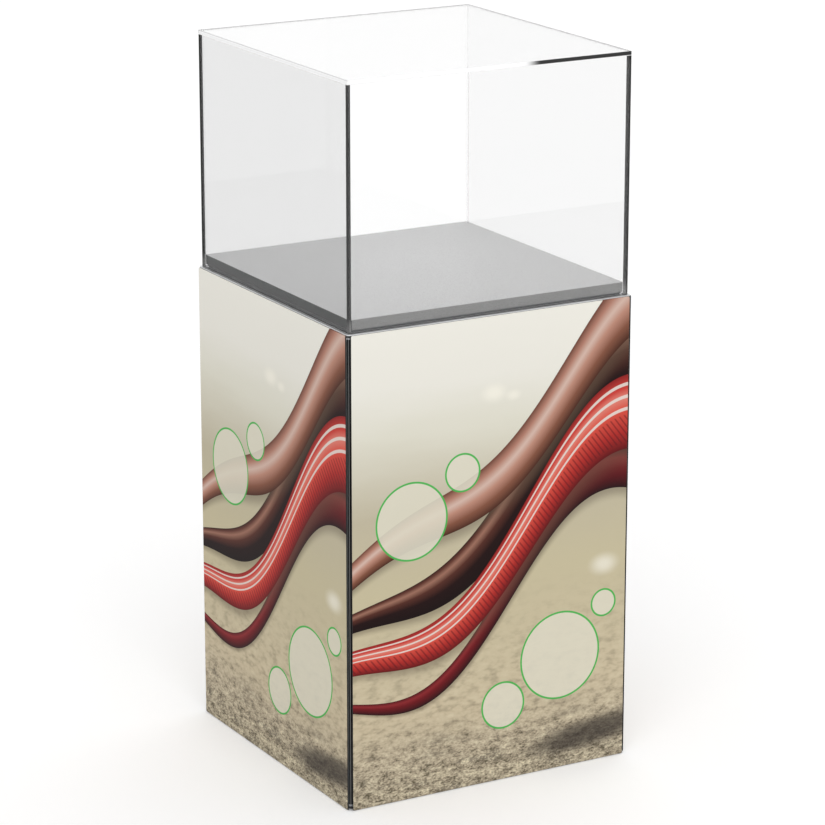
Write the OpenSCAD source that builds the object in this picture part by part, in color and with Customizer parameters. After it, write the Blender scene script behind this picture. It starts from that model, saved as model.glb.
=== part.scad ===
// Pedestal display case: a square frame of black aluminium tube, dressed on four sides with
// stretched fabric graphics, that carries a deck under a clear lift-off cover.
// Millimetres. The origin is the middle of the footprint on the floor, +Z is up, -Y is the front.

/* [Overall] */
// Width and depth of the pedestal, over its graphics
case_w = 508; // [400:1:640]
// Height of the frame, from the floor to the underside of the top plate
frame_h = 763; // [400:1:1100]
// Height of the clear cover
cover_h = 384; // [150:1:700]

/* [Clear cover] */
// Thickness of the clear sheets
sheet_t = 6.35; // [4:0.05:10]
// Ledge outside the cover, from the cover to the face of the graphics
ledge_w = 6.6; // [5:0.1:30]

/* [Deck] */
// Thickness of the deck
deck_t = 16; // [14:0.5:30]
// Gap between the cover's inner face and the deck's edge
deck_gap = 0.5; // [0.3:0.1:3]
// Height of the riser under the deck
riser_t = 4; // [2:0.5:12]
// How far the riser's edge stands back under the deck
riser_setback = 3; // [0:0.5:10]
// Thickness of the top plate
top_plate_t = 2; // [2:0.1:4]
// How far the top plate's edge stands back from the face of the graphics
top_plate_setback = 2.2; // [0.5:0.1:4]
// Corner radius of the top plate
top_plate_r = 6; // [1:0.5:12]

/* [Frame] */
// Width of the square tube of posts and rails
tube_w = 28; // [24:0.5:40]
// Wall of the tube
tube_wall = 2; // [1.5:0.1:2.6]
// Outside radius of the tube's corner in the reveal
tube_r = 1.2; // [0.5:0.1:2]
// How far each graphic stops short of the corner, which is the width of the corner reveal
reveal = 6; // [4:0.1:10]
// Thickness of the end plates of the posts
end_plate_t = 3; // [2:0.1:5]
// Thickness of the caps on top of the posts
top_cap_t = 3; // [2:0.1:6]
// Thickness of the caps under the posts
foot_cap_t = 4; // [3:0.1:8]
// Thickness of the base panel
base_panel_t = 6; // [4:0.5:12]

/* [Graphic channels] */
// Thickness of the fabric
fabric_t = 0.4; // [0.2:0.05:0.8]
// Thickness of the lip that the fabric turns round
lip_t = 1.2; // [1:0.1:2]
// Width of the groove behind the lip
groove_w = 2.6; // [2.2:0.1:5]
// Depth of the groove
groove_depth = 14; // [13.5:0.5:20]
// Thickness of the web that carries the lip
web_t = 2; // [1.5:0.1:3]
// Width of the silicone bead, measured into the groove
bead_w = 11; // [6:0.5:11.5]
// How deep the bead's outer edge sits in the groove
bead_inset = 1.5; // [0.5:0.1:2]
// Width of fabric that is sewn to the bead
hem_w = 10; // [5:0.5:11.5]
// Height of the graphics' lower edge above the floor
hem_clear = 1; // [0.5:0.1:3]

/* [Feet] */
// Height of the glide feet under the caps
glide_h = 3.5; // [2:0.1:10]
// Diameter of the glide feet
glide_d = 24; // [12:0.5:27]
// Diameter of the glide's stem
glide_stem_d = 5; // [3:0.5:6]
// Length of the glide's stem
glide_stem_l = 5.5; // [3:0.1:5.7]
// Diameter of the peg that holds each cap in its end plate
cap_peg_d = 10; // [9:0.1:13]

/* [Fasteners] */
// Thread diameter of the plate, deck and base screws
screw_d = 4; // [3:0.5:4]
// Length of the end plate screws
end_screw_l = 14; // [8:0.5:20]
// How far the top plate and base panel screws reach below what they hold
wall_screw_bite = 8; // [4:0.5:14]
// How far the deck screws reach into the deck
deck_screw_bite = 10; // [6:0.5:13]
// Thread diameter of the bolts that hold the rail spigots
bolt_d = 5; // [4:0.5:6]
// How far those bolts reach into a post past its wall
bolt_reach = 4; // [2:0.5:6]
// Length of the spigots in the ends of the rails
spigot_l = 30; // [20:1:50]
// Distance between the two screws in each side of the top plate and the base panel
screw_pitch = 240; // [120:1:250]
// Distance from the deck's edge to its screws
deck_screw_edge = 60; // [40:1:150]
// Length of the set screws in the rails
set_screw_l = 6; // [4:0.5:8]

/* [Hidden] */
$fn = 48;
CORNERS = ["front_left", "front_right", "back_right", "back_left"];
SIDES = ["front", "right", "back", "left"];
CORNER_PARTS = ["corner_post", "top_end_plate", "foot_end_plate", "top_cap", "foot_cap", "glide_foot"];
SIDE_PARTS = ["top_rail", "bottom_rail", "graphic", "edge_beads"];

// Clearances
screw_gap = 0.05;      // round a screw in its thread, all round
pass_gap = 0.15;       // round a screw or peg in a plain hole, all round
spigot_gap = 0.2;      // between a spigot and the tube, all round
bead_gap = 0.1;        // between a bead and the tube
lip_gap = 0.2;         // between the lips of a post and of a rail
wing_gap = 0.1;        // between the fabric's turned edge and an end plate or cap
post_gap = 1;          // between the base panel and a post
head_room = 1;         // between a top plate screw's head and the rail's inner wall
cut = 0.5;             // how far a cutting shape runs past the face it cuts

// Places across the wall, measured inwards from the face of a graphic
half_w = case_w / 2;
lip_back = fabric_t + lip_t;
hem_back = lip_back + fabric_t;
tube_front = lip_back + groove_w;
tube_mid = tube_front + tube_w / 2;
tube_back = tube_front + tube_w;
bead_t = tube_front - hem_back - bead_gap;
wing_front = hem_back + wing_gap;

// Places along the wall, measured from the corner where two graphics' faces would meet
lip_start = reveal + fabric_t;
groove_end = lip_start + groove_depth;
lip_end = groove_end + web_t;
rail_half = half_w - tube_back;
graphic_half = half_w - reveal;
rail_lip_half = half_w - lip_end - lip_gap;

// Levels
foot_cap_z = glide_h;
foot_plate_z = foot_cap_z + foot_cap_t;
post_low_z = foot_plate_z + end_plate_t;
top_cap_z = frame_h - top_cap_t;
post_high_z = top_cap_z - end_plate_t;
base_panel_z = foot_cap_z + tube_w;
top_rail_mid_z = frame_h - tube_w / 2;
bottom_rail_mid_z = foot_cap_z + tube_w / 2;
seat_z = frame_h + top_plate_t;
deck_z = seat_z + riser_t;
lid_z = seat_z + cover_h - sheet_t;

// Plan sizes
cover_w = case_w - 2 * ledge_w;
deck_w = cover_w - 2 * (sheet_t + deck_gap);
riser_w = deck_w - 2 * riser_setback;
top_plate_w = case_w - 2 * top_plate_setback;
base_panel_w = case_w - 2 * (tube_front + post_gap);
deck_screw_at = deck_w / 2 - deck_screw_edge;
// Screws of the top plate stand near the inner side of the rails, and so under the riser
top_screw_back = tube_back - tube_wall - screw_d - head_room;

// Fastener sizes
port_inset = 2.6;      // from the tube's inner walls to the middle of a screw port
port_r = 3.2;
ports = [tube_front + tube_wall + port_inset, tube_back - tube_wall - port_inset];
head_h = screw_d / 2;  // a countersunk head is twice as wide as its thread, at 90 degrees
pan_head_h = 2.4;
bolt_head_d = 8.5;
set_screw_at = spigot_l / 2;

BLACK = "#232323";
PALE = "#c9cacb";
SILVER = "#a9abad";
BOARD = "#8f8f8d";
CLOTH = "#cfc8b4";
CLEAR = [0.85, 0.93, 0.96, 0.35];

// ---- places ----

// Puts a shape drawn at the front left corner, with x and y running inwards from where the
// graphics' faces would meet, at corner number i, counted anticlockwise
module at_corner(i) {
    rotate([0, 0, 90 * i]) translate([-half_w, -half_w, 0]) children();
}

// Puts a shape drawn at the front, with y running inwards from the graphic's face, on side i
module at_side(i) {
    rotate([0, 0, 90 * i]) translate([0, -half_w, 0]) children();
}

// Draws a flat shape and its mate mirrored across the corner's diagonal
module both_faces() {
    children();
    mirror([1, -1, 0]) children();
}

// Repeats a shape drawn at +x at -x
module both_ends() {
    children();
    mirror([1, 0, 0]) children();
}

// ---- fasteners, drawn with the seat of the head at z = 0 and the thread pointing down ----

module socket(w, depth) {
    translate([0, 0, -depth]) cylinder(d = w, h = depth + cut, $fn = 6);
}

module countersunk_screw(d, l) {
    difference() {
        union() {
            translate([0, 0, -d / 2]) cylinder(h = d / 2, r1 = d / 2, r2 = d);
            translate([0, 0, -l]) cylinder(h = l - d / 4, d = d);
        }
        socket(d * 0.65, d * 0.3);
    }
}

module countersunk_hole(d, l, gap) {
    translate([0, 0, -d / 2]) cylinder(h = d / 2, r1 = d / 2 + gap, r2 = d + gap);
    translate([0, 0, -l]) cylinder(h = l, d = d + 2 * gap);
}

module headed_screw(d, l, head_d, head_t) {
    difference() {
        union() {
            cylinder(h = head_t, d = head_d);
            translate([0, 0, -l]) cylinder(h = l + head_t / 2, d = d);
        }
        translate([0, 0, head_t]) socket(d * 0.8, head_t * 0.6);
    }
}

// ---- frame ----

module tube_outline() {
    translate([tube_front, tube_front]) {
        difference() {
            square(tube_w);
            square(tube_r);
        }
        translate([tube_r, tube_r]) circle(r = tube_r);
    }
}

module lip_outline() {
    translate([lip_start + lip_t / 2, fabric_t]) square([lip_end - lip_start - lip_t / 2, lip_t]);
    translate([lip_start + lip_t / 2, fabric_t + lip_t / 2]) circle(d = lip_t);
    translate([groove_end, lip_back - lip_t / 2]) square([web_t, groove_w + lip_t]);
}

module post_outline() {
    difference() {
        union() {
            tube_outline();
            both_faces() lip_outline();
        }
        translate([tube_front + tube_wall, tube_front + tube_wall]) square(tube_w - 2 * tube_wall);
    }
    intersection() {
        tube_outline();
        for (p = ports) translate([p, p]) difference() {
            circle(r = port_r);
            circle(d = screw_d + 2 * screw_gap);
        }
    }
}

// Post of one corner: square tube with a lip and groove for each of its two graphics
module corner_post(i) {
    color(BLACK) at_corner(i) difference() {
        translate([0, 0, post_low_z]) linear_extrude(post_high_z - post_low_z) post_outline();
        for (z = [bottom_rail_mid_z, top_rail_mid_z]) {
            translate([tube_back - tube_wall - cut, tube_mid, z]) rotate([0, 90, 0])
                cylinder(h = tube_wall + 2 * cut, d = bolt_d + 2 * screw_gap);
            translate([tube_mid, tube_back - tube_wall - cut, z]) rotate([-90, 0, 0])
                cylinder(h = tube_wall + 2 * cut, d = bolt_d + 2 * screw_gap);
        }
    }
}

// Body that the end plates and caps share: a square under the tube, and a wing at each groove
module end_slab(t) {
    linear_extrude(t) tube_outline();
    both_faces() translate([lip_start, wing_front, 0])
        cube([lip_end - lip_start, tube_front - wing_front + tube_r, t]);
}

// Hole in the middle of an end plate whose lower face is at z
module peg_hole(z) {
    translate([tube_mid, tube_mid, z - cut])
        cylinder(h = end_plate_t + 2 * cut, d = cap_peg_d + 2 * pass_gap);
}

// Plate on the upper end of a post, screwed into the post's ports
module top_end_plate(i) {
    color(PALE) at_corner(i) difference() {
        translate([0, 0, post_high_z]) end_slab(end_plate_t);
        peg_hole(post_high_z);
        for (p = ports) translate([p, p, top_cap_z])
            countersunk_hole(screw_d, end_plate_t + cut, pass_gap);
    }
}

// Plate on the lower end of a post
module foot_end_plate(i) {
    color(PALE) at_corner(i) difference() {
        translate([0, 0, foot_plate_z]) end_slab(end_plate_t);
        peg_hole(foot_plate_z);
        for (p = ports) translate([p, p, foot_plate_z]) mirror([0, 0, 1])
            countersunk_hole(screw_d, end_plate_t + cut, pass_gap);
    }
}

// Black cap over a top end plate, level with the rails
module top_cap(i) {
    color(BLACK) at_corner(i) {
        translate([0, 0, top_cap_z]) end_slab(top_cap_t);
        translate([tube_mid, tube_mid, post_high_z + pass_gap])
            cylinder(h = end_plate_t - pass_gap + top_cap_t / 2, d = cap_peg_d);
    }
}

// Black cap under a foot end plate, with the socket for the glide's stem
module foot_cap(i) {
    color(BLACK) at_corner(i) difference() {
        union() {
            translate([0, 0, foot_cap_z]) end_slab(foot_cap_t);
            translate([tube_mid, tube_mid, foot_cap_z + foot_cap_t / 2])
                cylinder(h = foot_cap_t / 2 + end_plate_t - pass_gap, d = cap_peg_d);
        }
        translate([tube_mid, tube_mid, foot_cap_z - cut])
            cylinder(h = cut + glide_stem_l + pass_gap, d = glide_stem_d + 2 * screw_gap);
    }
}

// Round glide foot with a stem pressed into the foot cap
module glide_foot(i) {
    chamfer = 1;
    color(BLACK) at_corner(i) translate([tube_mid, tube_mid, 0]) {
        cylinder(h = chamfer, d1 = glide_d - 2 * chamfer, d2 = glide_d);
        translate([0, 0, chamfer]) cylinder(h = glide_h - chamfer, d = glide_d);
        cylinder(h = glide_h + glide_stem_l, d = glide_stem_d);
    }
}

// One rail, drawn with its open groove downwards and the tube's lower face at z = 0.
// lip_over is how far the lip reaches past the tube, and post_end is where the post's lip starts
module rail(lip_over, post_end) {
    strip_top = post_end - lip_gap;
    difference() {
        translate([-rail_half, tube_front, 0]) cube([2 * rail_half, tube_w, tube_w]);
        translate([-rail_half - cut, tube_front + tube_wall, tube_wall])
            cube([2 * (rail_half + cut), tube_w - 2 * tube_wall, tube_w - 2 * tube_wall]);
        both_ends() translate([rail_half - set_screw_at, tube_back - tube_wall - cut, tube_w / 2])
            rotate([-90, 0, 0]) cylinder(h = tube_wall + 2 * cut, d = bolt_d + 2 * screw_gap);
        children();
    }
    // The lip runs on over the posts as far as the corner reveal
    translate([-graphic_half + fabric_t, fabric_t, lip_t / 2 - lip_over])
        cube([2 * (graphic_half - fabric_t), lip_t, strip_top + lip_over - lip_t / 2]);
    translate([-graphic_half + fabric_t, fabric_t + lip_t / 2, lip_t / 2 - lip_over])
        rotate([0, 90, 0]) cylinder(h = 2 * (graphic_half - fabric_t), d = lip_t);
    translate([-rail_lip_half, fabric_t, strip_top - cut])
        cube([2 * rail_lip_half, lip_t, groove_depth + web_t - strip_top + cut]);
    translate([-rail_lip_half, lip_back - lip_t / 2, groove_depth])
        cube([2 * rail_lip_half, groove_w + lip_t / 2, web_t]);
}

module top_rail(i) {
    color(BLACK) at_side(i) translate([0, 0, frame_h]) mirror([0, 0, 1])
        rail(-fabric_t, frame_h - post_high_z)
            both_ends() translate([screw_pitch / 2, top_screw_back, -cut])
                cylinder(h = tube_wall + 2 * cut, d = screw_d + 2 * screw_gap);
}

module bottom_rail(i) {
    color(BLACK) at_side(i) translate([0, 0, foot_cap_z])
        rail(foot_cap_z - hem_clear - fabric_t, post_low_z - foot_cap_z)
            both_ends() translate([screw_pitch / 2, tube_mid, tube_w - tube_wall - cut])
                cylinder(h = tube_wall + 2 * cut, d = screw_d + 2 * screw_gap);
}

// Repeats a shape, drawn at the +x end of the front rail, at both ends of the four rails
module each_rail_end(level) {
    for (i = [0:3]) at_side(i) both_ends() translate([rail_half, tube_mid, level]) children();
}

// Plugs that join the rails to the posts at one level
module rail_spigots(level) {
    side = tube_w - 2 * tube_wall - 2 * spigot_gap;
    color(SILVER) each_rail_end(level) difference() {
        translate([-spigot_l, -side / 2, -side / 2]) cube([spigot_l, side, side]);
        translate([-spigot_l - cut, 0, 0]) rotate([0, 90, 0])
            cylinder(h = spigot_l + 2 * cut, d = bolt_d + 2 * pass_gap);
        translate([-set_screw_at, side / 2 - set_screw_l, 0]) rotate([-90, 0, 0])
            cylinder(h = set_screw_l + cut, d = bolt_d + 2 * screw_gap);
    }
}

// Bolts through the spigots into the walls of the posts
module spigot_bolts() {
    color(SILVER) for (level = [bottom_rail_mid_z, top_rail_mid_z])
        each_rail_end(level) translate([-spigot_l, 0, 0]) rotate([0, -90, 0])
            headed_screw(bolt_d, spigot_l + tube_wall + bolt_reach, bolt_head_d, bolt_d);
}

// Set screws that lock each rail on its spigot, from inside the case
module rail_set_screws() {
    color(BLACK) for (level = [bottom_rail_mid_z, top_rail_mid_z])
        each_rail_end(level) translate([-set_screw_at, tube_w / 2, 0]) rotate([-90, 0, 0])
            difference() {
                translate([0, 0, -set_screw_l]) cylinder(h = set_screw_l, d = bolt_d);
                socket(bolt_d / 2, set_screw_l / 2);
            }
}

module top_end_plate_screws() {
    color(SILVER) for (i = [0:3], p = ports) at_corner(i) translate([p, p, top_cap_z])
        countersunk_screw(screw_d, end_screw_l);
}

module foot_end_plate_screws() {
    color(SILVER) for (i = [0:3], p = ports) at_corner(i) translate([p, p, foot_plate_z])
        mirror([0, 0, 1]) countersunk_screw(screw_d, end_screw_l);
}

// Floor of the pedestal, cut out at the corners to pass the posts
module base_panel() {
    notch = tube_back + post_gap;
    color(BLACK) translate([0, 0, base_panel_z]) difference() {
        translate([-base_panel_w / 2, -base_panel_w / 2, 0])
            cube([base_panel_w, base_panel_w, base_panel_t]);
        for (i = [0:3]) at_corner(i) translate([0, 0, -cut])
            cube([notch, notch, base_panel_t + 2 * cut]);
        for (i = [0:3]) at_side(i) both_ends() translate([screw_pitch / 2, tube_mid, -cut])
            cylinder(h = base_panel_t + 2 * cut, d = screw_d + 2 * pass_gap);
    }
}

module base_panel_screws() {
    color(SILVER) for (i = [0:3]) at_side(i) both_ends()
        translate([screw_pitch / 2, tube_mid, base_panel_z + base_panel_t])
            headed_screw(screw_d, base_panel_t + wall_screw_bite, 2 * screw_d, pan_head_h);
}

// ---- graphics ----

// Fabric of one side: its four edges turn round the lips and run back into the grooves
module graphic(i) {
    h = frame_h - hem_clear;
    color(CLOTH) at_side(i) translate([0, 0, hem_clear]) {
        translate([-graphic_half, 0, 0]) cube([2 * graphic_half, fabric_t, h]);
        both_ends() translate([graphic_half - fabric_t, 0, 0]) cube([fabric_t, hem_back, h]);
        both_ends() translate([graphic_half - hem_w, lip_back, post_low_z - hem_clear])
            cube([hem_w, fabric_t, post_high_z - post_low_z]);
        for (z = [0, h - fabric_t]) translate([-graphic_half, 0, z])
            cube([2 * graphic_half, hem_back, fabric_t]);
        for (z = [0, h - hem_w]) translate([-rail_lip_half, lip_back, z])
            cube([2 * rail_lip_half, fabric_t, hem_w]);
    }
}

// Silicone beads of one graphic: one strip in each of its four grooves
module edge_beads(i) {
    upright_h = post_high_z - post_low_z - 2 * lip_gap;
    color(BLACK) at_side(i) translate([0, hem_back, 0]) {
        both_ends() translate([half_w - lip_start - bead_inset - bead_w, 0, post_low_z + lip_gap])
            cube([bead_w, bead_t, upright_h]);
        for (z = [foot_cap_z + bead_inset, frame_h - bead_inset - bead_w])
            translate([-rail_lip_half, 0, z]) cube([2 * rail_lip_half, bead_t, bead_w]);
    }
}

// ---- top ----

// Flat square plate with round corners, drawn upwards from z = 0
module round_plate(w, r, t) {
    linear_extrude(t) {
        square([w - 2 * r, w], center = true);
        square([w, w - 2 * r], center = true);
        for (x = [-1, 1], y = [-1, 1]) translate([x * (w / 2 - r), y * (w / 2 - r)]) circle(r = r);
    }
}

module at_deck_screws() {
    for (x = [-deck_screw_at, deck_screw_at], y = [-deck_screw_at, deck_screw_at])
        translate([x, y, frame_h]) children();
}

// Pale plate on top of the frame, whose edge shows as the ledge round the cover
module top_plate() {
    color(PALE) difference() {
        translate([0, 0, frame_h]) round_plate(top_plate_w, top_plate_r, top_plate_t);
        for (i = [0:3]) at_side(i) both_ends() translate([screw_pitch / 2, top_screw_back, seat_z])
            countersunk_hole(screw_d, top_plate_t + cut, pass_gap);
        at_deck_screws() translate([0, 0, -cut])
            cylinder(h = top_plate_t + 2 * cut, d = screw_d + 2 * pass_gap);
    }
}

module top_plate_screws() {
    color(SILVER) for (i = [0:3]) at_side(i) both_ends()
        translate([screw_pitch / 2, top_screw_back, seat_z])
            countersunk_screw(screw_d, top_plate_t + wall_screw_bite);
}

// Dark riser that lifts the deck off the top plate
module deck_riser() {
    color("#4a4a4a") difference() {
        translate([-riser_w / 2, -riser_w / 2, seat_z]) cube([riser_w, riser_w, riser_t]);
        at_deck_screws() cylinder(h = top_plate_t + riser_t + cut, d = screw_d + 2 * pass_gap);
    }
}

// Grey deck on which the exhibit stands
module deck() {
    color(BOARD) difference() {
        translate([-deck_w / 2, -deck_w / 2, deck_z]) cube([deck_w, deck_w, deck_t]);
        at_deck_screws() translate([0, 0, deck_z - frame_h - cut])
            cylinder(h = deck_screw_bite + 2 * cut, d = screw_d + 2 * screw_gap);
    }
}

// Screws that hold the deck from below, through the top plate and the riser
module deck_screws() {
    color(SILVER) at_deck_screws() mirror([0, 0, 1])
        headed_screw(screw_d, top_plate_t + riser_t + deck_screw_bite, 2 * screw_d, pan_head_h);
}

// ---- clear cover ----

// Front and back sheets run the full width; i is the side
module cover_end_sheet(i) {
    color(CLEAR) at_side(i) translate([-cover_w / 2, ledge_w, seat_z])
        cube([cover_w, sheet_t, cover_h - sheet_t]);
}

// Left and right sheets stand between the front and back sheets
module cover_side_sheet(i) {
    color(CLEAR) at_side(i) translate([-cover_w / 2 + sheet_t, ledge_w, seat_z])
        cube([cover_w - 2 * sheet_t, sheet_t, cover_h - sheet_t]);
}

module cover_top() {
    color(CLEAR) translate([-cover_w / 2, -cover_w / 2, lid_z]) cube([cover_w, cover_w, sheet_t]);
}

// ---- the nodes ----

for (i = [0:3]) {
    corner_post(i);
    top_end_plate(i);
    foot_end_plate(i);
    top_cap(i);
    foot_cap(i);
    glide_foot(i);
    top_rail(i);
    bottom_rail(i);
    graphic(i);
    edge_beads(i);
}
rail_spigots(top_rail_mid_z);  // rail_spigots_top
rail_spigots(bottom_rail_mid_z);  // rail_spigots_bottom
spigot_bolts();
rail_set_screws();
top_end_plate_screws();
foot_end_plate_screws();
base_panel();
base_panel_screws();
top_plate();
top_plate_screws();
deck_riser();
deck();
deck_screws();
cover_end_sheet(0);  // cover_front
cover_end_sheet(2);  // cover_back
cover_side_sheet(3);  // cover_left
cover_side_sheet(1);  // cover_right
cover_top();
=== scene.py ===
import math

import bpy
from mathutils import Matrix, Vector


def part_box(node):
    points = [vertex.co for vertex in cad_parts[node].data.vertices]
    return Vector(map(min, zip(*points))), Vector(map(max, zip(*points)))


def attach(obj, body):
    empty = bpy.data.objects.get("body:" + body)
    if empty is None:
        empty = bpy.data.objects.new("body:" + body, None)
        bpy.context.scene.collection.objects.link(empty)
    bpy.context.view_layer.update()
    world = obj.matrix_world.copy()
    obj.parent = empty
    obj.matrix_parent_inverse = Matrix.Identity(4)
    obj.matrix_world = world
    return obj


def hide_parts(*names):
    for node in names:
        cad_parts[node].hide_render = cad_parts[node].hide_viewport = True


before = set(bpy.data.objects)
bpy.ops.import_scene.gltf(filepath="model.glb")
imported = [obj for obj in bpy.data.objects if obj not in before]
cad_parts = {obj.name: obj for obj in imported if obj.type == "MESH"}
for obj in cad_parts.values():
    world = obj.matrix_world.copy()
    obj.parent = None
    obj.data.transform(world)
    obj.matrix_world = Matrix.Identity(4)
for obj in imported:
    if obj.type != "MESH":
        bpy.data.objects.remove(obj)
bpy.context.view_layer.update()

# ---- view ----
# The camera stands at the front left and looks down on the case. The photograph keeps the case's
# uprights parallel, which a camera aimed at it can't do, so this is its nearest place.
camera_place = (-2.689, -4.756, 2.123)
camera_azimuth = math.radians(-29.5)
camera_tilt = math.radians(16.1)
camera_turn = (math.pi / 2 - camera_tilt, 0, camera_azimuth)
bpy.ops.object.camera_add(location=camera_place, rotation=camera_turn)
camera = bpy.context.object
camera.data.sensor_width = 36
camera.data.lens = 154.8
camera.data.clip_end = 200
bpy.context.scene.camera = camera
bpy.context.scene.view_settings.view_transform = "Standard"


# ---- white studio ----
# A white floor under even light, with a soft sun from the front and a weaker one from behind.
# The background is white to the camera and in reflections, and lights the case less than that.
class Value:
    """A number or a colour in a shader, so that shader maths reads as plain expressions."""

    def __init__(self, finish, socket):
        self.finish = finish
        self.socket = socket

    def maths(self, operation, *others):
        return self.finish.maths(operation, self, *others)

    def __add__(self, other):
        return self.maths("ADD", other)

    def __radd__(self, other):
        return self.maths("ADD", other)

    def __sub__(self, other):
        return self.maths("SUBTRACT", other)

    def __rsub__(self, other):
        return self.finish.maths("SUBTRACT", other, self)

    def __mul__(self, other):
        return self.maths("MULTIPLY", other)

    def __rmul__(self, other):
        return self.maths("MULTIPLY", other)

    def __truediv__(self, other):
        return self.maths("DIVIDE", other)

    def __pow__(self, other):
        return self.maths("POWER", other)

    def __abs__(self):
        return self.maths("ABSOLUTE")

    def sin(self):
        return self.maths("SINE")

    def sqrt(self):
        return self.maths("SQRT")

    def most(self, other):
        """The greater of this and other."""
        return self.maths("MAXIMUM", other)

    def step(self, low, high):
        """0 where this is under low, 1 where it is over high, and smooth between them."""
        settings = {"interpolation_type": "SMOOTHSTEP"}
        sockets = {"Value": self, "From Min": low, "From Max": high}
        return self.finish.node("MapRange", settings, sockets)

    def fade(self, low, high):
        """1 where this is under low, 0 where it is over high, and smooth between them."""
        return 1 - self.step(low, high)


class Finish:
    """The nodes of one material, or of the world."""

    def __init__(self, name, owner=None):
        self.owner = owner or bpy.data.materials.new(name)
        self.owner.use_nodes = True
        self.tree = self.owner.node_tree
        self.tree.nodes.clear()

    def node(self, kind, settings={}, sockets={}, out=0):
        """Adds a node, sets it, fills or links its sockets, and returns one of its outputs."""
        node = self.tree.nodes.new("ShaderNode" + kind)
        for name, setting in settings.items():
            if name == "stops":
                self.set_stops(node.color_ramp, setting)
            else:
                setattr(node, name, setting)
        for name, value in sockets.items():
            self.fill(node.inputs[name], value)
        return Value(self, node.outputs[out])

    def fill(self, socket, value):
        if isinstance(value, Value):
            self.tree.links.new(value.socket, socket)
        else:
            socket.default_value = value

    def set_stops(self, ramp, stops):
        while len(ramp.elements) < len(stops):
            ramp.elements.new(1)
        for element, (place, colour) in zip(ramp.elements, stops):
            element.position = place
            element.color = (*colour, 1)

    def maths(self, operation, *values):
        return self.node("Math", {"operation": operation}, dict(enumerate(values)))

    def mix(self, share, first, second):
        """A colour that goes from first to second as share goes from 0 to 1."""
        first, second = [c if isinstance(c, Value) else (*c, 1) for c in (first, second)]
        sockets = {0: share, 6: first, 7: second}
        return self.node("Mix", {"data_type": "RGBA"}, sockets, out=2)

    def ramp(self, share, stops):
        """The colour at share of a list of stops, each of them a share and its colour."""
        return self.node("ValToRGB", {"stops": stops}, {"Fac": share})

    def place(self):
        """Object coordinates, in metres."""
        return self.node("TexCoord", out="Object")

    def stretched(self, scale):
        """Object coordinates multiplied by scale, which has a number for each axis."""
        return self.node("Mapping", {}, {"Vector": self.place(), "Scale": scale})

    def axis(self, place, name):
        """One coordinate of a place: X, Y or Z."""
        return self.node("SeparateXYZ", {}, {"Vector": place}, out=name)

    def noise(self, place, scale, detail=3, roughness=0.55):
        sockets = {"Vector": place, "Scale": scale, "Detail": detail, "Roughness": roughness}
        return self.node("TexNoise", {}, sockets)

    def bump(self, height, strength, distance):
        return self.node("Bump", {}, {"Height": height, "Strength": strength, "Distance": distance})

    def surface(self, **sockets):
        """Ends the material in one Principled shader. A name's underscores stand for spaces."""
        named = {name.replace("_", " "): value for name, value in sockets.items()}
        self.show(self.node("BsdfPrincipled", {}, named))
        return self.owner

    def show(self, shader, kind="Material"):
        output = self.tree.nodes.new("ShaderNodeOutput" + kind)
        self.fill(output.inputs["Surface"], shader)


def shown_rays(finish):
    """1 for the rays that show the background: the camera's, and those in gloss and in glass."""
    seen = finish.node("LightPath", out="Is Camera Ray")
    in_gloss = finish.node("LightPath", out="Is Glossy Ray")
    in_glass = finish.node("LightPath", out="Is Transmission Ray")
    return seen.most(in_gloss).most(in_glass)


world_light = 0.64
world = Finish("white studio", bpy.data.worlds.new("white studio"))
bpy.context.scene.world = world.owner
world_strength = world_light + (1 - world_light) * shown_rays(world)
background = world.node("Background", {}, {"Color": (1, 1, 1, 1), "Strength": world_strength})
world.show(background, "World")

floor_size = 60
floor_colour = (0.86, 0.86, 0.86)
floor_glow = 0.16
bpy.ops.mesh.primitive_plane_add(size=floor_size, location=(0, 0, 0))
floor = bpy.context.object
floor.name = "floor"
white_floor = Finish("white floor")
paint = white_floor.node("BsdfDiffuse", {}, {"Color": (*floor_colour, 1)})
glow = white_floor.node("Emission", {}, {"Strength": floor_glow * shown_rays(white_floor)})
white_floor.show(white_floor.node("AddShader", {}, {0: paint, 1: glow}))
floor.data.materials.append(white_floor.owner)

sun_width = math.radians(60)


def soft_sun(name, direction, strength):
    """A wide sun whose light comes from direction, so that it casts only soft shadows."""
    turn = Vector(direction).to_track_quat("Z", "Y").to_euler()
    bpy.ops.object.light_add(type="SUN", rotation=turn)
    sun = bpy.context.object
    sun.name = name
    sun.data.angle = sun_width
    sun.data.energy = strength * math.pi


soft_sun("front sun", direction=(-0.33, -0.66, 0.67), strength=0.42)
soft_sun("back sun", direction=(0.50, 0.50, 0.71), strength=0.16)


# ---- glide feet ----
# Four round black nylon glides, pressed by their stems into the caps under the posts.
# They are moulded, and the floor scuffs them pale in patches.
corners = ["front_left", "front_right", "back_right", "back_left"]
glides = ["glide_foot_" + corner for corner in corners]
glide_black = (0.022, 0.022, 0.023)
glide_scuffed = (0.10, 0.10, 0.10)


def dress(material, *nodes):
    """Gives the CAD nodes of these names one material."""
    for name in nodes:
        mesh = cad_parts[name].data
        mesh.materials.clear()
        mesh.materials.append(material)


def moulded(name, colour, worn_colour, grain):
    """Moulded plastic with faint worn patches and pits as wide as grain."""
    finish = Finish(name)
    place = finish.place()
    rubbed_and_highlight = finish.noise(place, 60).step(0.55, 0.75)
    pits = finish.noise(place, 1 / grain, detail=2)
    return finish.surface(
        Base_Color=finish.mix(0.6 * rubbed_and_highlight, colour, worn_colour),
        Roughness=0.42 + 0.2 * pits,
        Normal=finish.bump(pits, strength=0.25, distance=0.0001),
    )


dress(moulded("glide nylon", glide_black, glide_scuffed, grain=0.0012), *glides)


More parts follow.
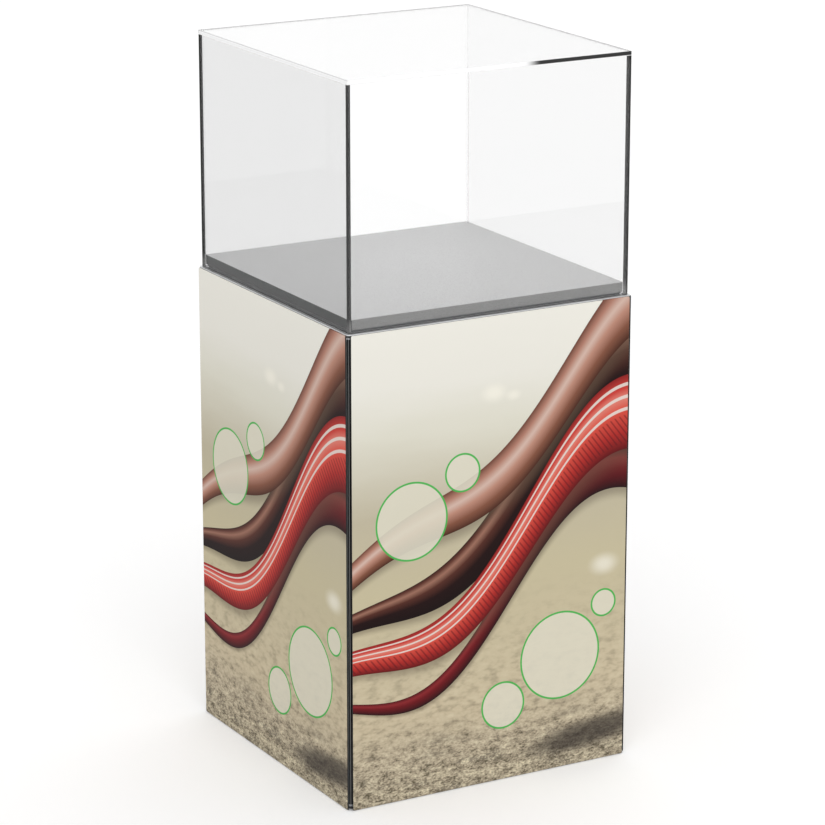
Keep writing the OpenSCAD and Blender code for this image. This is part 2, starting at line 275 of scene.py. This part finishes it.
# ---- foot caps and top caps ----
# Black moulded caps that close both ends of each post. A peg in the middle of each cap is pushed
# into its end plate and holds it there.
caps = [kind + corner for kind in ("foot_cap_", "top_cap_") for corner in corners]
cap_black = (0.016, 0.016, 0.017)
cap_rubbed = (0.05, 0.05, 0.05)
dress(moulded("cap plastic", cap_black, cap_rubbed, grain=0.0007), *caps)


# ---- end plates ----
# Clear anodised aluminium plates, screwed to both ends of each post. They show as a pale bar at
# each end of the corner reveal.
end_plates = [kind + corner for kind in ("foot_end_plate_", "top_end_plate_") for corner in corners]
end_plate_silver = (0.44, 0.45, 0.46)
across_lines = 900
along_lines = 12


def anodised(name, colour, along, roughness=0.34, streak=0.06):
    """Satin anodised aluminium whose fine drawing lines run along one axis: 0, 1 or 2."""
    finish = Finish(name)
    scale = [across_lines] * 3
    scale[along] = along_lines
    lines = finish.noise(finish.stretched(scale), 1, detail=2)
    cloud = finish.noise(finish.stretched((9, 9, 9)), 1)
    dull = [0.86 * c for c in colour]
    return finish.surface(
        Base_Color=finish.mix(cloud.step(0.3, 0.7), colour, dull),
        Metallic=1.0,
        Roughness=roughness + streak * lines + 0.05 * cloud,
        Normal=finish.bump(lines, strength=0.12, distance=0.00004),
    )


dress(anodised("satin aluminium", end_plate_silver, along=0), *end_plates)


# ---- corner posts ----
# Four square aluminium tubes, extruded with a lip and a groove for each of their two graphics
# and anodised black. They show as a dark strip in the corner reveals, with a painted highlight
# along the rounded outer corner of the tube, broken up in patches.
posts = ["corner_post_" + corner for corner in corners]
post_black = (0.026, 0.026, 0.028)
# The paler colour of the painted highlight on the outer corner, and where it starts and is full.
post_highlight_grey = (0.13, 0.13, 0.13)
highlight_start = 0.4977
highlight_full = 0.4984


def highlighted_post(name, black, highlight_colour):
    """Black anodised extrusion with a painted highlight, paler at the tube's outer corner, where
    the sum of the distances from the two middle planes rises through the two highlight limits
    above."""
    finish = Finish(name)
    place = finish.place()
    distance_sum = abs(finish.axis(place, "X")) + abs(finish.axis(place, "Y"))
    # A painted highlight along the tube's outer corner, broken up in patches.
    rubbed_and_highlight = distance_sum.step(highlight_start, highlight_full)
    lines = finish.noise(finish.stretched((across_lines, across_lines, along_lines)), 1, detail=2)
    highlight_patches = finish.noise(finish.stretched((500, 500, 90)), 1, detail=2)
    return finish.surface(
        Base_Color=finish.mix(rubbed_and_highlight * (0.6 + 0.8 * highlight_patches), black, highlight_colour),
        Metallic=1.0,
        Roughness=0.30 + 0.06 * lines + 0.10 * rubbed_and_highlight,
        Normal=finish.bump(lines, strength=0.12, distance=0.00004),
    )


dress(highlighted_post("black anodised post", post_black, post_highlight_grey), *posts)


# ---- rails ----
# The same black extrusion between the posts, four at the top and four at the bottom. Their lips
# run on over the posts as far as the corner reveals.
rail_kinds = ("top_rail_", "bottom_rail_")
front_back_rails = [kind + side for kind in rail_kinds for side in ("front", "back")]
side_rails = [kind + side for kind in rail_kinds for side in ("left", "right")]
rail_black = (0.030, 0.030, 0.032)
dress(anodised("black anodised rail x", rail_black, along=0, roughness=0.30), *front_back_rails)
dress(anodised("black anodised rail y", rail_black, along=1, roughness=0.30), *side_rails)


# ---- spigots, bolts and screws ----
# Sawn aluminium plugs bolted to the posts, on which the rails slide and are locked by set screws.
# The screws and bolts are zinc plated, and the set screws are black.
sawn_silver = (0.52, 0.53, 0.54)
sawn_aluminium = anodised("sawn aluminium", sawn_silver, along=0, roughness=0.42, streak=0.2)
dress(sawn_aluminium, "rail_spigots_top", "rail_spigots_bottom")


def plated(name, colour, bloom, roughness):
    """Plated steel, with a cloudy bloom over its colour."""
    finish = Finish(name)
    cloud = finish.noise(finish.place(), 220)
    return finish.surface(
        Base_Color=finish.mix(cloud.step(0.35, 0.7), colour, bloom),
        Metallic=1.0,
        Roughness=roughness + 0.15 * cloud,
        Normal=finish.bump(cloud, strength=0.08, distance=0.00005),
    )


zinc_grey = (0.62, 0.63, 0.64)
zinc_bloom = (0.55, 0.56, 0.50)
zinc = plated("zinc plate", zinc_grey, zinc_bloom, roughness=0.25)
dress(zinc, "foot_end_plate_screws", "top_end_plate_screws", "spigot_bolts")
dress(zinc, "base_panel_screws", "top_plate_screws", "deck_screws")
oxide_black = (0.030, 0.030, 0.032)
oxide_bloom = (0.055, 0.050, 0.045)
dress(plated("black oxide", oxide_black, oxide_bloom, roughness=0.35), "rail_set_screws")


# ---- base panel ----
# A black faced fibreboard that closes the bottom of the frame, screwed down on the bottom rails.
# Its edges are sawn and show the brown core.
def faced_board(name, face, core, low, high, stipple):
    """A faced board between two levels: face on top and underneath, core on its edges."""
    finish = Finish(name)
    place = finish.place()
    level = finish.axis(place, "Z")
    skin = 0.0004
    over_skin = level.step(low + skin, low + 1.2 * skin)
    under_skin = level.fade(high - 1.2 * skin, high - skin)
    edge = over_skin * under_skin
    grains = finish.noise(place, 1 / stipple, detail=2)
    fibres = finish.noise(finish.stretched((500, 500, 2500)), 1)
    shade = finish.mix(grains.step(0.35, 0.75), face, [0.9 * c for c in face])
    fibre = finish.mix(fibres, core, [0.6 * c for c in core])
    return finish.surface(
        Base_Color=finish.mix(edge, shade, fibre),
        Roughness=0.45 + 0.12 * grains + 0.2 * edge,
        Normal=finish.bump(grains, strength=0.2, distance=0.00008),
    )


panel_low, panel_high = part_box("base_panel")
panel_black = (0.020, 0.020, 0.021)
panel_brown = (0.20, 0.13, 0.07)
panel_finish = faced_board(
    "black faced board", panel_black, panel_brown, panel_low.z, panel_high.z, stipple=0.0012)
dress(panel_finish, "base_panel")


# ---- top plate ----
# A 2 mm satin aluminium plate screwed to the top rails. Its edge is the thin pale ledge that
# shows between the graphics and the cover.
top_plate_silver = (0.66, 0.67, 0.68)
top_plate_ease = 0.0003
sharp_angle = math.radians(40)


def ease_edges(width, *nodes):
    """Takes the sharp edges off these CAD nodes, as a file or a router does."""
    for name in nodes:
        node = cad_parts[name]
        weld = node.modifiers.new("weld", "WELD")
        weld.merge_threshold = 0.00001
        bevel = node.modifiers.new("eased edges", "BEVEL")
        bevel.width = width
        bevel.segments = 2
        bevel.limit_method = "ANGLE"
        bevel.angle_limit = sharp_angle


dress(anodised("satin top plate", top_plate_silver, along=0, roughness=0.40), "top_plate")
ease_edges(top_plate_ease, "top_plate")


# ---- deck riser ----
# Charcoal painted fibreboard that lifts the deck off the top plate. It stands back under the deck's
# edge, and shows as the dark line below it. Its charcoal is darker than the deck's greys, partly as
# painted shade.
def painted_board(name, colour):
    """Board painted with a roller, whose fine orange peel shows in the gloss."""
    finish = Finish(name)
    place = finish.place()
    peel = finish.noise(place, 700, detail=2)
    cloud = finish.noise(place, 12)
    return finish.surface(
        Base_Color=finish.mix(cloud, colour, [1.25 * c for c in colour]),
        Roughness=0.6 + 0.1 * cloud,
        Normal=finish.bump(peel, strength=0.3, distance=0.0001),
    )


# Charcoal darkened in part as painted shade under the deck's edge.
riser_charcoal_and_shade = (0.125, 0.127, 0.130)
dress(painted_board("charcoal paint", riser_charcoal_and_shade), "deck_riser")


# ---- deck ----
# The board on which the exhibit stands, faced with pale grey laminate and edged with bands of a
# darker grey. The left and the back band are darker still, as painted shade. Four screws hold it
# from below.
deck_low, deck_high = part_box("deck")
deck_grey = (0.452, 0.452, 0.452)
deck_band_grey = (0.282, 0.282, 0.279)
# The colour of the left and the back band, darker as painted shade.
deck_band_painted_shade = (0.050, 0.053, 0.052)
deck_skin = 0.0004
deck_ease = 0.0004


def laminate(name, top_colour, band_colour, shaded_band_colour, low, high):
    """Laminate for a board whose corners are low and high: a satin face and matt edge bands, of
    which the left and the back one are darkened as painted shade."""
    finish = Finish(name)
    place = finish.place()
    on_top = finish.axis(place, "Z").step(high.z - 2 * deck_skin, high.z - deck_skin)
    on_left = finish.axis(place, "X").fade(low.x + deck_skin / 2, low.x + 2 * deck_skin)
    on_back = finish.axis(place, "Y").step(high.y - 2 * deck_skin, high.y - deck_skin / 2)
    speckle = finish.noise(place, 1400, detail=2)
    stipple = finish.noise(place, 480, detail=3, roughness=0.7).step(0.40, 0.60)
    cloud = finish.noise(place, 6)
    top = finish.mix(stipple, top_colour, [0.80 * c for c in top_colour])
    # The left and the back band take the painted shade colour.
    band = finish.mix(on_left.most(on_back), band_colour, shaded_band_colour)
    edge = finish.mix(0.1 * stipple, band, (0.02, 0.02, 0.02))
    return finish.surface(
        Base_Color=finish.mix(on_top, edge, top),
        Roughness=0.40 + 0.08 * cloud + 0.06 * speckle,
        Specular_IOR_Level=0.02,
        Coat_Weight=0.8 * on_top,
        Coat_Roughness=0.12,
        Normal=finish.bump(speckle, strength=0.05, distance=0.00002),
    )


grey_laminate = laminate(
    "grey laminate", deck_grey, deck_band_grey, deck_band_painted_shade, deck_low, deck_high)
dress(grey_laminate, "deck")
ease_edges(deck_ease, "deck")


# ---- edge beads ----
# Flat strips of smoky silicone, sewn behind the four edges of each graphic. Pushed into the
# grooves of the rails and posts, they hold the fabric taut.
sides = ["front", "right", "back", "left"]
beads = ["edge_beads_" + side for side in sides]
bead_grey = (0.075, 0.075, 0.073)
bead_bloom = (0.11, 0.11, 0.105)
silicone = Finish("silicone")
bloom = silicone.noise(silicone.place(), 150)
silicone_finish = silicone.surface(
    Base_Color=silicone.mix(bloom, bead_grey, bead_bloom),
    Roughness=0.35 + 0.15 * bloom,
    Subsurface_Weight=0.2,
)
dress(silicone_finish, *beads)


# ---- graphics ----
# Four printed fabrics, each stretched flat over the lips of its side's rails and posts. The edge
# turns round the lip in a half circle and runs back behind it to the sewn bead.
fabric_thickness = 0.0004
turn_r = 0.001
turn_steps = 6
hem = 0.009
corner_r = 0.003
corner_steps = 4
graphic_low, graphic_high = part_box("graphic_front")
face_low = Vector((graphic_low.x + turn_r, 0, graphic_low.z + turn_r))
face_high = Vector((graphic_high.x - turn_r, 0, graphic_high.z - turn_r))
face_middle = (face_low + face_high) / 2
face_size = face_high - face_low


def grow_rim(half_width, half_height, offset, depth):
    """Extrudes the selected rim: offset outwards from where it is, and depth back from the face."""
    bpy.ops.mesh.extrude_edges_move()
    scale = (1 + offset / half_width, 1, 1 + offset / half_height)
    bpy.ops.transform.resize(value=scale, center_override=face_middle)
    bpy.ops.transform.translate(value=(0, depth, 0))


def stretched_fabric():
    """The front graphic: its flat face, its turned edges and its hem."""
    bpy.ops.object.select_all(action="DESELECT")
    place = (face_middle.x, graphic_low.y, face_middle.z)
    bpy.ops.mesh.primitive_plane_add(size=1, location=place, rotation=(math.pi / 2, 0, 0))
    piece = bpy.context.object
    piece.scale = (face_size.x, face_size.z, 1)
    bpy.ops.object.transform_apply()
    bpy.ops.object.mode_set(mode="EDIT")
    bpy.ops.mesh.select_all(action="SELECT")
    bpy.ops.mesh.bevel(
        offset=corner_r, offset_type="OFFSET", segments=corner_steps, affect="VERTICES")
    bpy.ops.mesh.select_mode(type="EDGE")
    bpy.ops.mesh.select_all(action="SELECT")
    bpy.ops.mesh.region_to_loop()
    half_width, half_height = face_size.x / 2, face_size.z / 2
    offset, depth = 0, 0
    for step in range(1, turn_steps + 1):
        angle = math.pi * step / turn_steps
        new_offset, new_depth = turn_r * math.sin(angle), turn_r * (1 - math.cos(angle))
        grow_rim(half_width + offset, half_height + offset, new_offset - offset, new_depth - depth)
        offset, depth = new_offset, new_depth
    grow_rim(half_width, half_height, -hem, 0)
    bpy.ops.mesh.select_all(action="SELECT")
    bpy.ops.mesh.normals_make_consistent(inside=False)
    bpy.ops.object.mode_set(mode="OBJECT")
    return piece


front_fabric = stretched_fabric()
front_fabric.name = "fabric_front"
cloth_map = front_fabric.data.uv_layers.new(name="cloth")
for loop in front_fabric.data.loops:
    point = front_fabric.data.vertices[loop.vertex_index].co
    cloth_map.data[loop.index].uv = (point.x - graphic_low.x, point.z - graphic_low.z)
for face in front_fabric.data.polygons:
    on_flat_face = face.normal.y <= -0.999
    face.use_smooth = not on_flat_face
thicken = front_fabric.modifiers.new("thickness", "SOLIDIFY")
thicken.thickness = fabric_thickness
thicken.offset = -1
bpy.ops.object.modifier_apply(modifier="thickness")


# The print: pale haze over a gravel ground, with broad satin ribbons that sweep up to the right
# and cream discs with green rims. All four sides carry the same print. Its places are in metres
# across and up from the lower left corner of the graphic.
printed = Finish("printed fabric")
cloth = printed.node("UVMap", {"uv_map": "cloth"})
across = printed.axis(cloth, "X")
up = printed.axis(cloth, "Y")
print_width = graphic_high.x - graphic_low.x
print_height = graphic_high.z - graphic_low.z


def print_noise(wide, high, detail=3):
    """Noise whose grains are about wide by high, in metres."""
    place = printed.node("Mapping", {}, {"Vector": cloth, "Scale": (1 / wide, 1 / high, 1)})
    return printed.noise(place, 1, detail)


ground_stops = [
    (0.00, (0.38, 0.325, 0.235)),
    (0.09, (0.44, 0.370, 0.265)),
    (0.17, (0.55, 0.465, 0.320)),
    (0.45, (0.54, 0.48, 0.32)),
    (0.62, (0.50, 0.45, 0.33)),
    (0.78, (0.70, 0.68, 0.58)),
    (0.88, (0.79, 0.77, 0.70)),
    (1.00, (0.82, 0.80, 0.73)),
]
drift = 0.05 * (print_noise(0.20, 0.05) - 0.5)
picture = printed.ramp(up / print_height + drift, ground_stops)

# The gravel: patches, mottling, pebbles and grit, all of them strongest near the lower edge.
near_ground = up.fade(0.01, 0.15)
far_ground = up.fade(0.10, 0.36)
patches = near_ground * print_noise(0.110, 0.028, detail=4).step(0.50, 0.64)
mottle = (0.9 + 0.5 * near_ground) * (print_noise(0.024, 0.013, detail=2) - 0.5)
pebbles = (0.35 + 1.25 * near_ground) * (print_noise(0.0105, 0.0058, detail=3) - 0.5)
grit = 2.1 * near_ground * (print_noise(0.0044, 0.0027, detail=4) - 0.5)
tone = far_ground * (mottle + pebbles + grit)
patch_brown = (0.17, 0.145, 0.11)
gravel_dark = (0.12, 0.10, 0.065)
gravel_light = (0.74, 0.66, 0.47)
picture = printed.mix(0.75 * patches, picture, patch_brown)
picture = printed.mix(-2.2 * tone, picture, gravel_dark)
picture = printed.mix(1.6 * tone, picture, gravel_light)


def distance_to(x, y, flatness=1):
    """How far the print's points are from x, y. Distance up the print counts flatness times."""
    return ((across - x) ** 2 + (flatness * (up - y)) ** 2).sqrt()


# Soft pale lights in the haze: the place, radius and strength of each.
light_cream = (0.88, 0.85, 0.75)
lights = [
    (0.250, 0.640, 0.030, 0.75),
    (0.285, 0.632, 0.018, 0.60),
    (0.455, 0.330, 0.035, 0.60),
]
for x, y, radius, strength in lights:
    near = distance_to(x, y, flatness=1.5).fade(0.1 * radius, radius)
    picture = printed.mix(strength * near, picture, light_cream)


def ribbon(start, end, sway, turn, half_start, half_end):
    """How far up its own half width a point lies on a ribbon: -1 at its lower edge, 1 at its
    upper. Its middle rises from start to end and sways in one wave, which begins at the angle
    turn, and its half width goes from half_start to half_end."""
    along = across / print_width
    wave = (along * 6.28 + turn).sin()
    middle = start + (end - start) * along.step(-0.15, 1.15) + sway * wave
    half = half_start + (half_end - half_start) * along.step(-0.2, 1.1)
    return (up - middle) / half


ribbon_shadow = (0.10, 0.075, 0.05)


def lay_ribbon(over, stops):
    """Lays a ribbon on the picture, with the soft shadow that it throws below itself."""
    under = (over + 1.7).step(0, 0.7) * over.fade(-1.0, -0.9)
    shaded = printed.mix(0.5 * under, picture, ribbon_shadow)
    satin = printed.ramp(0.5 + 0.5 * over, stops)
    return printed.mix(abs(over).fade(0.985, 1.0), shaded, satin)


umber_stops = [
    (0.00, (0.008, 0.003, 0.003)),
    (0.35, (0.014, 0.004, 0.004)),
    (0.60, (0.085, 0.026, 0.018)),
    (0.78, (0.31, 0.15, 0.105)),
    (0.90, (0.12, 0.040, 0.028)),
    (1.00, (0.025, 0.008, 0.006)),
]
umber = ribbon(start=0.255, end=0.640, sway=0.040, turn=1.9, half_start=0.012, half_end=0.072)
picture = lay_ribbon(umber, umber_stops)

tan_stops = [
    (0.00, (0.060, 0.020, 0.012)),
    (0.22, (0.22, 0.085, 0.052)),
    (0.45, (0.48, 0.245, 0.18)),
    (0.62, (0.62, 0.45, 0.38)),
    (0.80, (0.42, 0.20, 0.145)),
    (1.00, (0.13, 0.045, 0.030)),
]
tan = ribbon(start=0.330, end=0.730, sway=0.045, turn=1.0, half_start=0.020, half_end=0.058)
picture = lay_ribbon(tan, tan_stops)

maroon_stops = [
    (0.00, (0.014, 0.005, 0.006)),
    (0.50, (0.14, 0.008, 0.012)),
    (0.75, (0.24, 0.022, 0.026)),
    (1.00, (0.06, 0.006, 0.009)),
]
maroon = ribbon(start=0.130, end=0.470, sway=0.050, turn=2.6, half_start=0.006, half_end=0.034)
picture = lay_ribbon(maroon, maroon_stops)

red_stops = [
    (0.00, (0.10, 0.006, 0.008)),
    (0.25, (0.40, 0.026, 0.022)),
    (0.55, (0.66, 0.080, 0.055)),
    (0.70, (0.70, 0.22, 0.17)),
    (0.82, (0.56, 0.050, 0.040)),
    (1.00, (0.24, 0.014, 0.014)),
]
red = ribbon(start=0.190, end=0.550, sway=0.045, turn=2.1, half_start=0.018, half_end=0.062)
picture = lay_ribbon(red, red_stops)

# Three cream pipings run along the upper half of the red ribbon, and slanting dark ribs across its
# lower half.
piping_waves = 19
piping_cream = (0.74, 0.68, 0.62)
rib_waves = 620
rib_red = (0.09, 0.008, 0.012)
pipings = (red * piping_waves).sin().step(0.55, 0.75)
pipings = pipings * red.step(0.0, 0.05) * red.fade(0.80, 0.82)
picture = printed.mix(0.85 * pipings, picture, piping_cream)
ribs = ((across + 0.8 * up) * rib_waves).sin().step(0.30, 0.80)
ribs = ribs * red.step(-0.85, -0.80) * red.fade(-0.10, -0.05)
picture = printed.mix(0.55 * ribs, picture, rib_red)

# A soft dark shade lies on the gravel at the lower right.
shade_umber = (0.040, 0.032, 0.028)
from_shade = across - 0.440
shade_x = from_shade / 0.150
shade_y = (up - 0.050 - 0.10 * from_shade) / 0.030
shade = (shade_x ** 2 + shade_y ** 2).fade(0.05, 1.10)
picture = printed.mix(0.85 * shade, picture, shade_umber)

# See-through cream discs with thin green rims: the place and radius of each.
disc_cream = (0.70, 0.67, 0.55)
disc_green = (0.055, 0.42, 0.075)
discs = [
    (0.105, 0.455, 0.062),
    (0.195, 0.520, 0.030),
    (0.375, 0.190, 0.072),
    (0.270, 0.125, 0.038),
    (0.455, 0.265, 0.022),
]
for x, y, radius in discs:
    far = distance_to(x, y)
    inside = far.fade(radius, radius + 0.0004)
    rim = abs(far - radius).fade(0.0013, 0.0018)
    picture = printed.mix(0.82 * inside, picture, disc_cream)
    picture = printed.mix(0.95 * rim, picture, disc_green)

# The two upright edges are darkened to black where they turn into the corner reveals, as painted
# shade.
reveal_shade_black = (0.025, 0.025, 0.026)
left_reveal_shade = across.fade(0.0007, 0.0009)
right_reveal_shade = across.step(print_width - 0.0009, print_width - 0.0007)
picture = printed.mix(left_reveal_shade.most(right_reveal_shade), picture, reveal_shade_black)

# The knit has a stitch of 0.8 mm.
knit_waves = 7850
knit = (across * knit_waves).sin() * (up * knit_waves).sin()
yarn = print_noise(0.0015, 0.0015)
fabric_finish = printed.surface(
    Base_Color=picture,
    Roughness=0.68 + 0.12 * yarn,
    Specular_IOR_Level=0.12,
    Sheen_Weight=0.03,
    Sheen_Roughness=0.5,
    Normal=printed.bump(0.5 * knit + 0.5 * yarn, strength=0.25, distance=0.00006),
)
front_fabric.data.materials.append(fabric_finish)

fabrics = [front_fabric]
for number in (1, 2, 3):
    bpy.ops.object.select_all(action="DESELECT")
    front_fabric.select_set(True)
    bpy.context.view_layer.objects.active = front_fabric
    bpy.ops.object.duplicate()
    copy = bpy.context.object
    copy.rotation_euler.z = number * math.pi / 2
    bpy.ops.object.transform_apply()
    fabrics.append(copy)

for side, piece in zip(sides, fabrics):
    piece.name = "fabric_" + side
    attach(piece, "pedestal")
    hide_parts("graphic_" + side)


# ---- cover ----
# Five sheets of clear cast acrylic with polished edges, cemented into a box that is open below.
# It stands on the top plate round the deck, and lifts straight off.
def acrylic(name, side_tint, gloss, ior=1.49):
    """Clear acrylic that lets the lamps' light through. It is greyer where it is seen at a slant,
    down to side_tint. A gloss under 1 weakens its reflections, and so does a lower ior."""
    clear = Finish(name)
    slant = clear.node("LayerWeight", {}, {"Blend": 0.5}, out="Facing")
    tint_stops = [
        (0.15, (0.99, 0.99, 0.99)),
        (0.50, [side_tint] * 3),
        (0.60, [side_tint] * 3),
        (0.75, (0.95, 0.95, 0.95)),
    ]
    smear = clear.noise(clear.place(), 14)
    plastic = clear.node("BsdfPrincipled", {}, {
        "Base Color": clear.ramp(slant, tint_stops),
        "Roughness": 0.01 * smear,
        "IOR": ior,
        "Specular Tint": (gloss, gloss, gloss, 1),
        "Transmission Weight": 1.0,
    })
    to_lamp = clear.node("LightPath", out="Is Shadow Ray")
    let_through = clear.node("BsdfTransparent", {}, {"Color": (0.93, 0.93, 0.93, 1)})
    clear.show(clear.node("MixShader", {}, {0: to_lamp, 1: plastic, 2: let_through}))
    return clear.owner


# The sheets' tints differ by side as painted shade and light: the left sheet greyest, the back
# sheet and the lid paler.
clear_acrylic = acrylic("clear acrylic", side_tint=0.84, gloss=0.3)
back_acrylic = acrylic("clear acrylic, back sheet", side_tint=0.90, gloss=1.0)
left_acrylic_painted_shade = acrylic("clear acrylic, left sheet", side_tint=0.70, gloss=0.1, ior=1.25)
lid_acrylic = acrylic("clear acrylic, lid", side_tint=0.97, gloss=1.0)

# The polished edges are dark, because little light comes out through them. Painted light makes them
# paler low down over the top plate and in the joints, and white along the line where the lid is
# cemented on.
polished = Finish("polished edge")
edge_place = polished.place()
edge_x = polished.axis(edge_place, "X")
edge_y = polished.axis(edge_place, "Y")
edge_z = polished.axis(edge_place, "Z")
lid_low, lid_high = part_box("cover_top")
seat_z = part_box("cover_front")[0].z
butt_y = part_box("cover_left")[1].y
low_down = edge_z.fade(seat_z + 0.004, seat_z + 0.030)
butted = abs(abs(edge_y) - butt_y).fade(0.0001, 0.0004)
under_lid = abs(edge_z - lid_low.z).fade(0.0004, 0.0006)
# Painted light on the edges: paler low down and in the joints, white under the lid.
pale = ((0.11 + 0.13 * butted) * low_down).most(0.05 * butted).most(under_lid)


def at_side(depth):
    """1 on a side of the lid and on its arris, from the depth of a point behind that side."""
    return depth.fade(0.0006, 0.0010)


# The lid's edges carry painted light and shade: white along its left and the left part of its
# front, dark grey along its back and its right, and darkest in the rest of its front. All but the
# front one have a darker arris along the top, as painted shade.
at_front = at_side(edge_y - lid_low.y)
at_back = at_side(lid_high.y - edge_y)
at_left = at_side(edge_x - lid_low.x)
at_right = at_side(lid_high.x - edge_x)
arris = at_side(lid_high.z - edge_z)
on_lid = edge_z.step(lid_low.z, lid_low.z + 0.0004)
lid_painted_white = edge_x.fade(0.055, 0.085) * (1 - at_back)
lid_painted_grey = (0.12 * at_back).most(0.08 * at_right)
pale = pale.most(on_lid * lid_painted_white).most(on_lid * lid_painted_grey)
pale = pale * (1 - 0.65 * arris * (1 - 0.3 * at_left) * (1 - at_front))

# The upright edges at the back left are the darkest, as painted shade.
back_left = edge_x.fade(-0.22, -0.15) * edge_y.step(0.15, 0.22)
buffed = polished.noise(edge_place, 300)
dark = polished.mix(buffed, (0.034, 0.034, 0.034), (0.050, 0.050, 0.050))
dark = polished.mix(back_left, dark, (0.003, 0.003, 0.003))
polished_edge = polished.surface(
    Base_Color=polished.mix(pale, dark, (0.98, 0.98, 0.98)),
    Roughness=0.15 + 0.10 * buffed,
    Specular_IOR_Level=0.04,
)

cement_film = 0.0001
half_film = Vector((1, 1, 1)) * cement_film / 2
broken_edge = 0.0003


def clear_sheet(name, plastic, thin_axis, clear_end=(0, 0, 0)):
    """One sheet of the cover: a slab with broken edges that are dark, but for the end that faces
    clear_end, whose cement shows no line. A film of cement parts it from the next sheet."""
    low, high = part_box(name)
    low, high = low + half_film, high - half_film
    bpy.ops.object.select_all(action="DESELECT")
    bpy.ops.mesh.primitive_cube_add(size=1, location=(low + high) / 2)
    piece = bpy.context.object
    piece.name = "clear_" + name
    piece.scale = high - low
    bpy.ops.object.transform_apply()
    bpy.ops.object.mode_set(mode="EDIT")
    bpy.ops.mesh.select_all(action="SELECT")
    bpy.ops.mesh.bevel(offset=broken_edge, segments=2, affect="EDGES")
    bpy.ops.object.mode_set(mode="OBJECT")
    piece.data.materials.append(plastic)
    piece.data.materials.append(polished_edge)
    for face in piece.data.polygons:
        on_face = abs(face.normal[thin_axis]) > 0.99
        on_clear_end = face.normal.dot(Vector(clear_end)) > 0.5
        face.material_index = 0 if on_face or on_clear_end else 1
    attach(piece, "cover")
    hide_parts(name)


clear_sheet("cover_front", clear_acrylic, thin_axis=1)
clear_sheet("cover_back", back_acrylic, thin_axis=1)
clear_sheet("cover_left", left_acrylic_painted_shade, thin_axis=0)
clear_sheet("cover_right", clear_acrylic, thin_axis=0, clear_end=(0, 1, 0))
clear_sheet("cover_top", lid_acrylic, thin_axis=2)
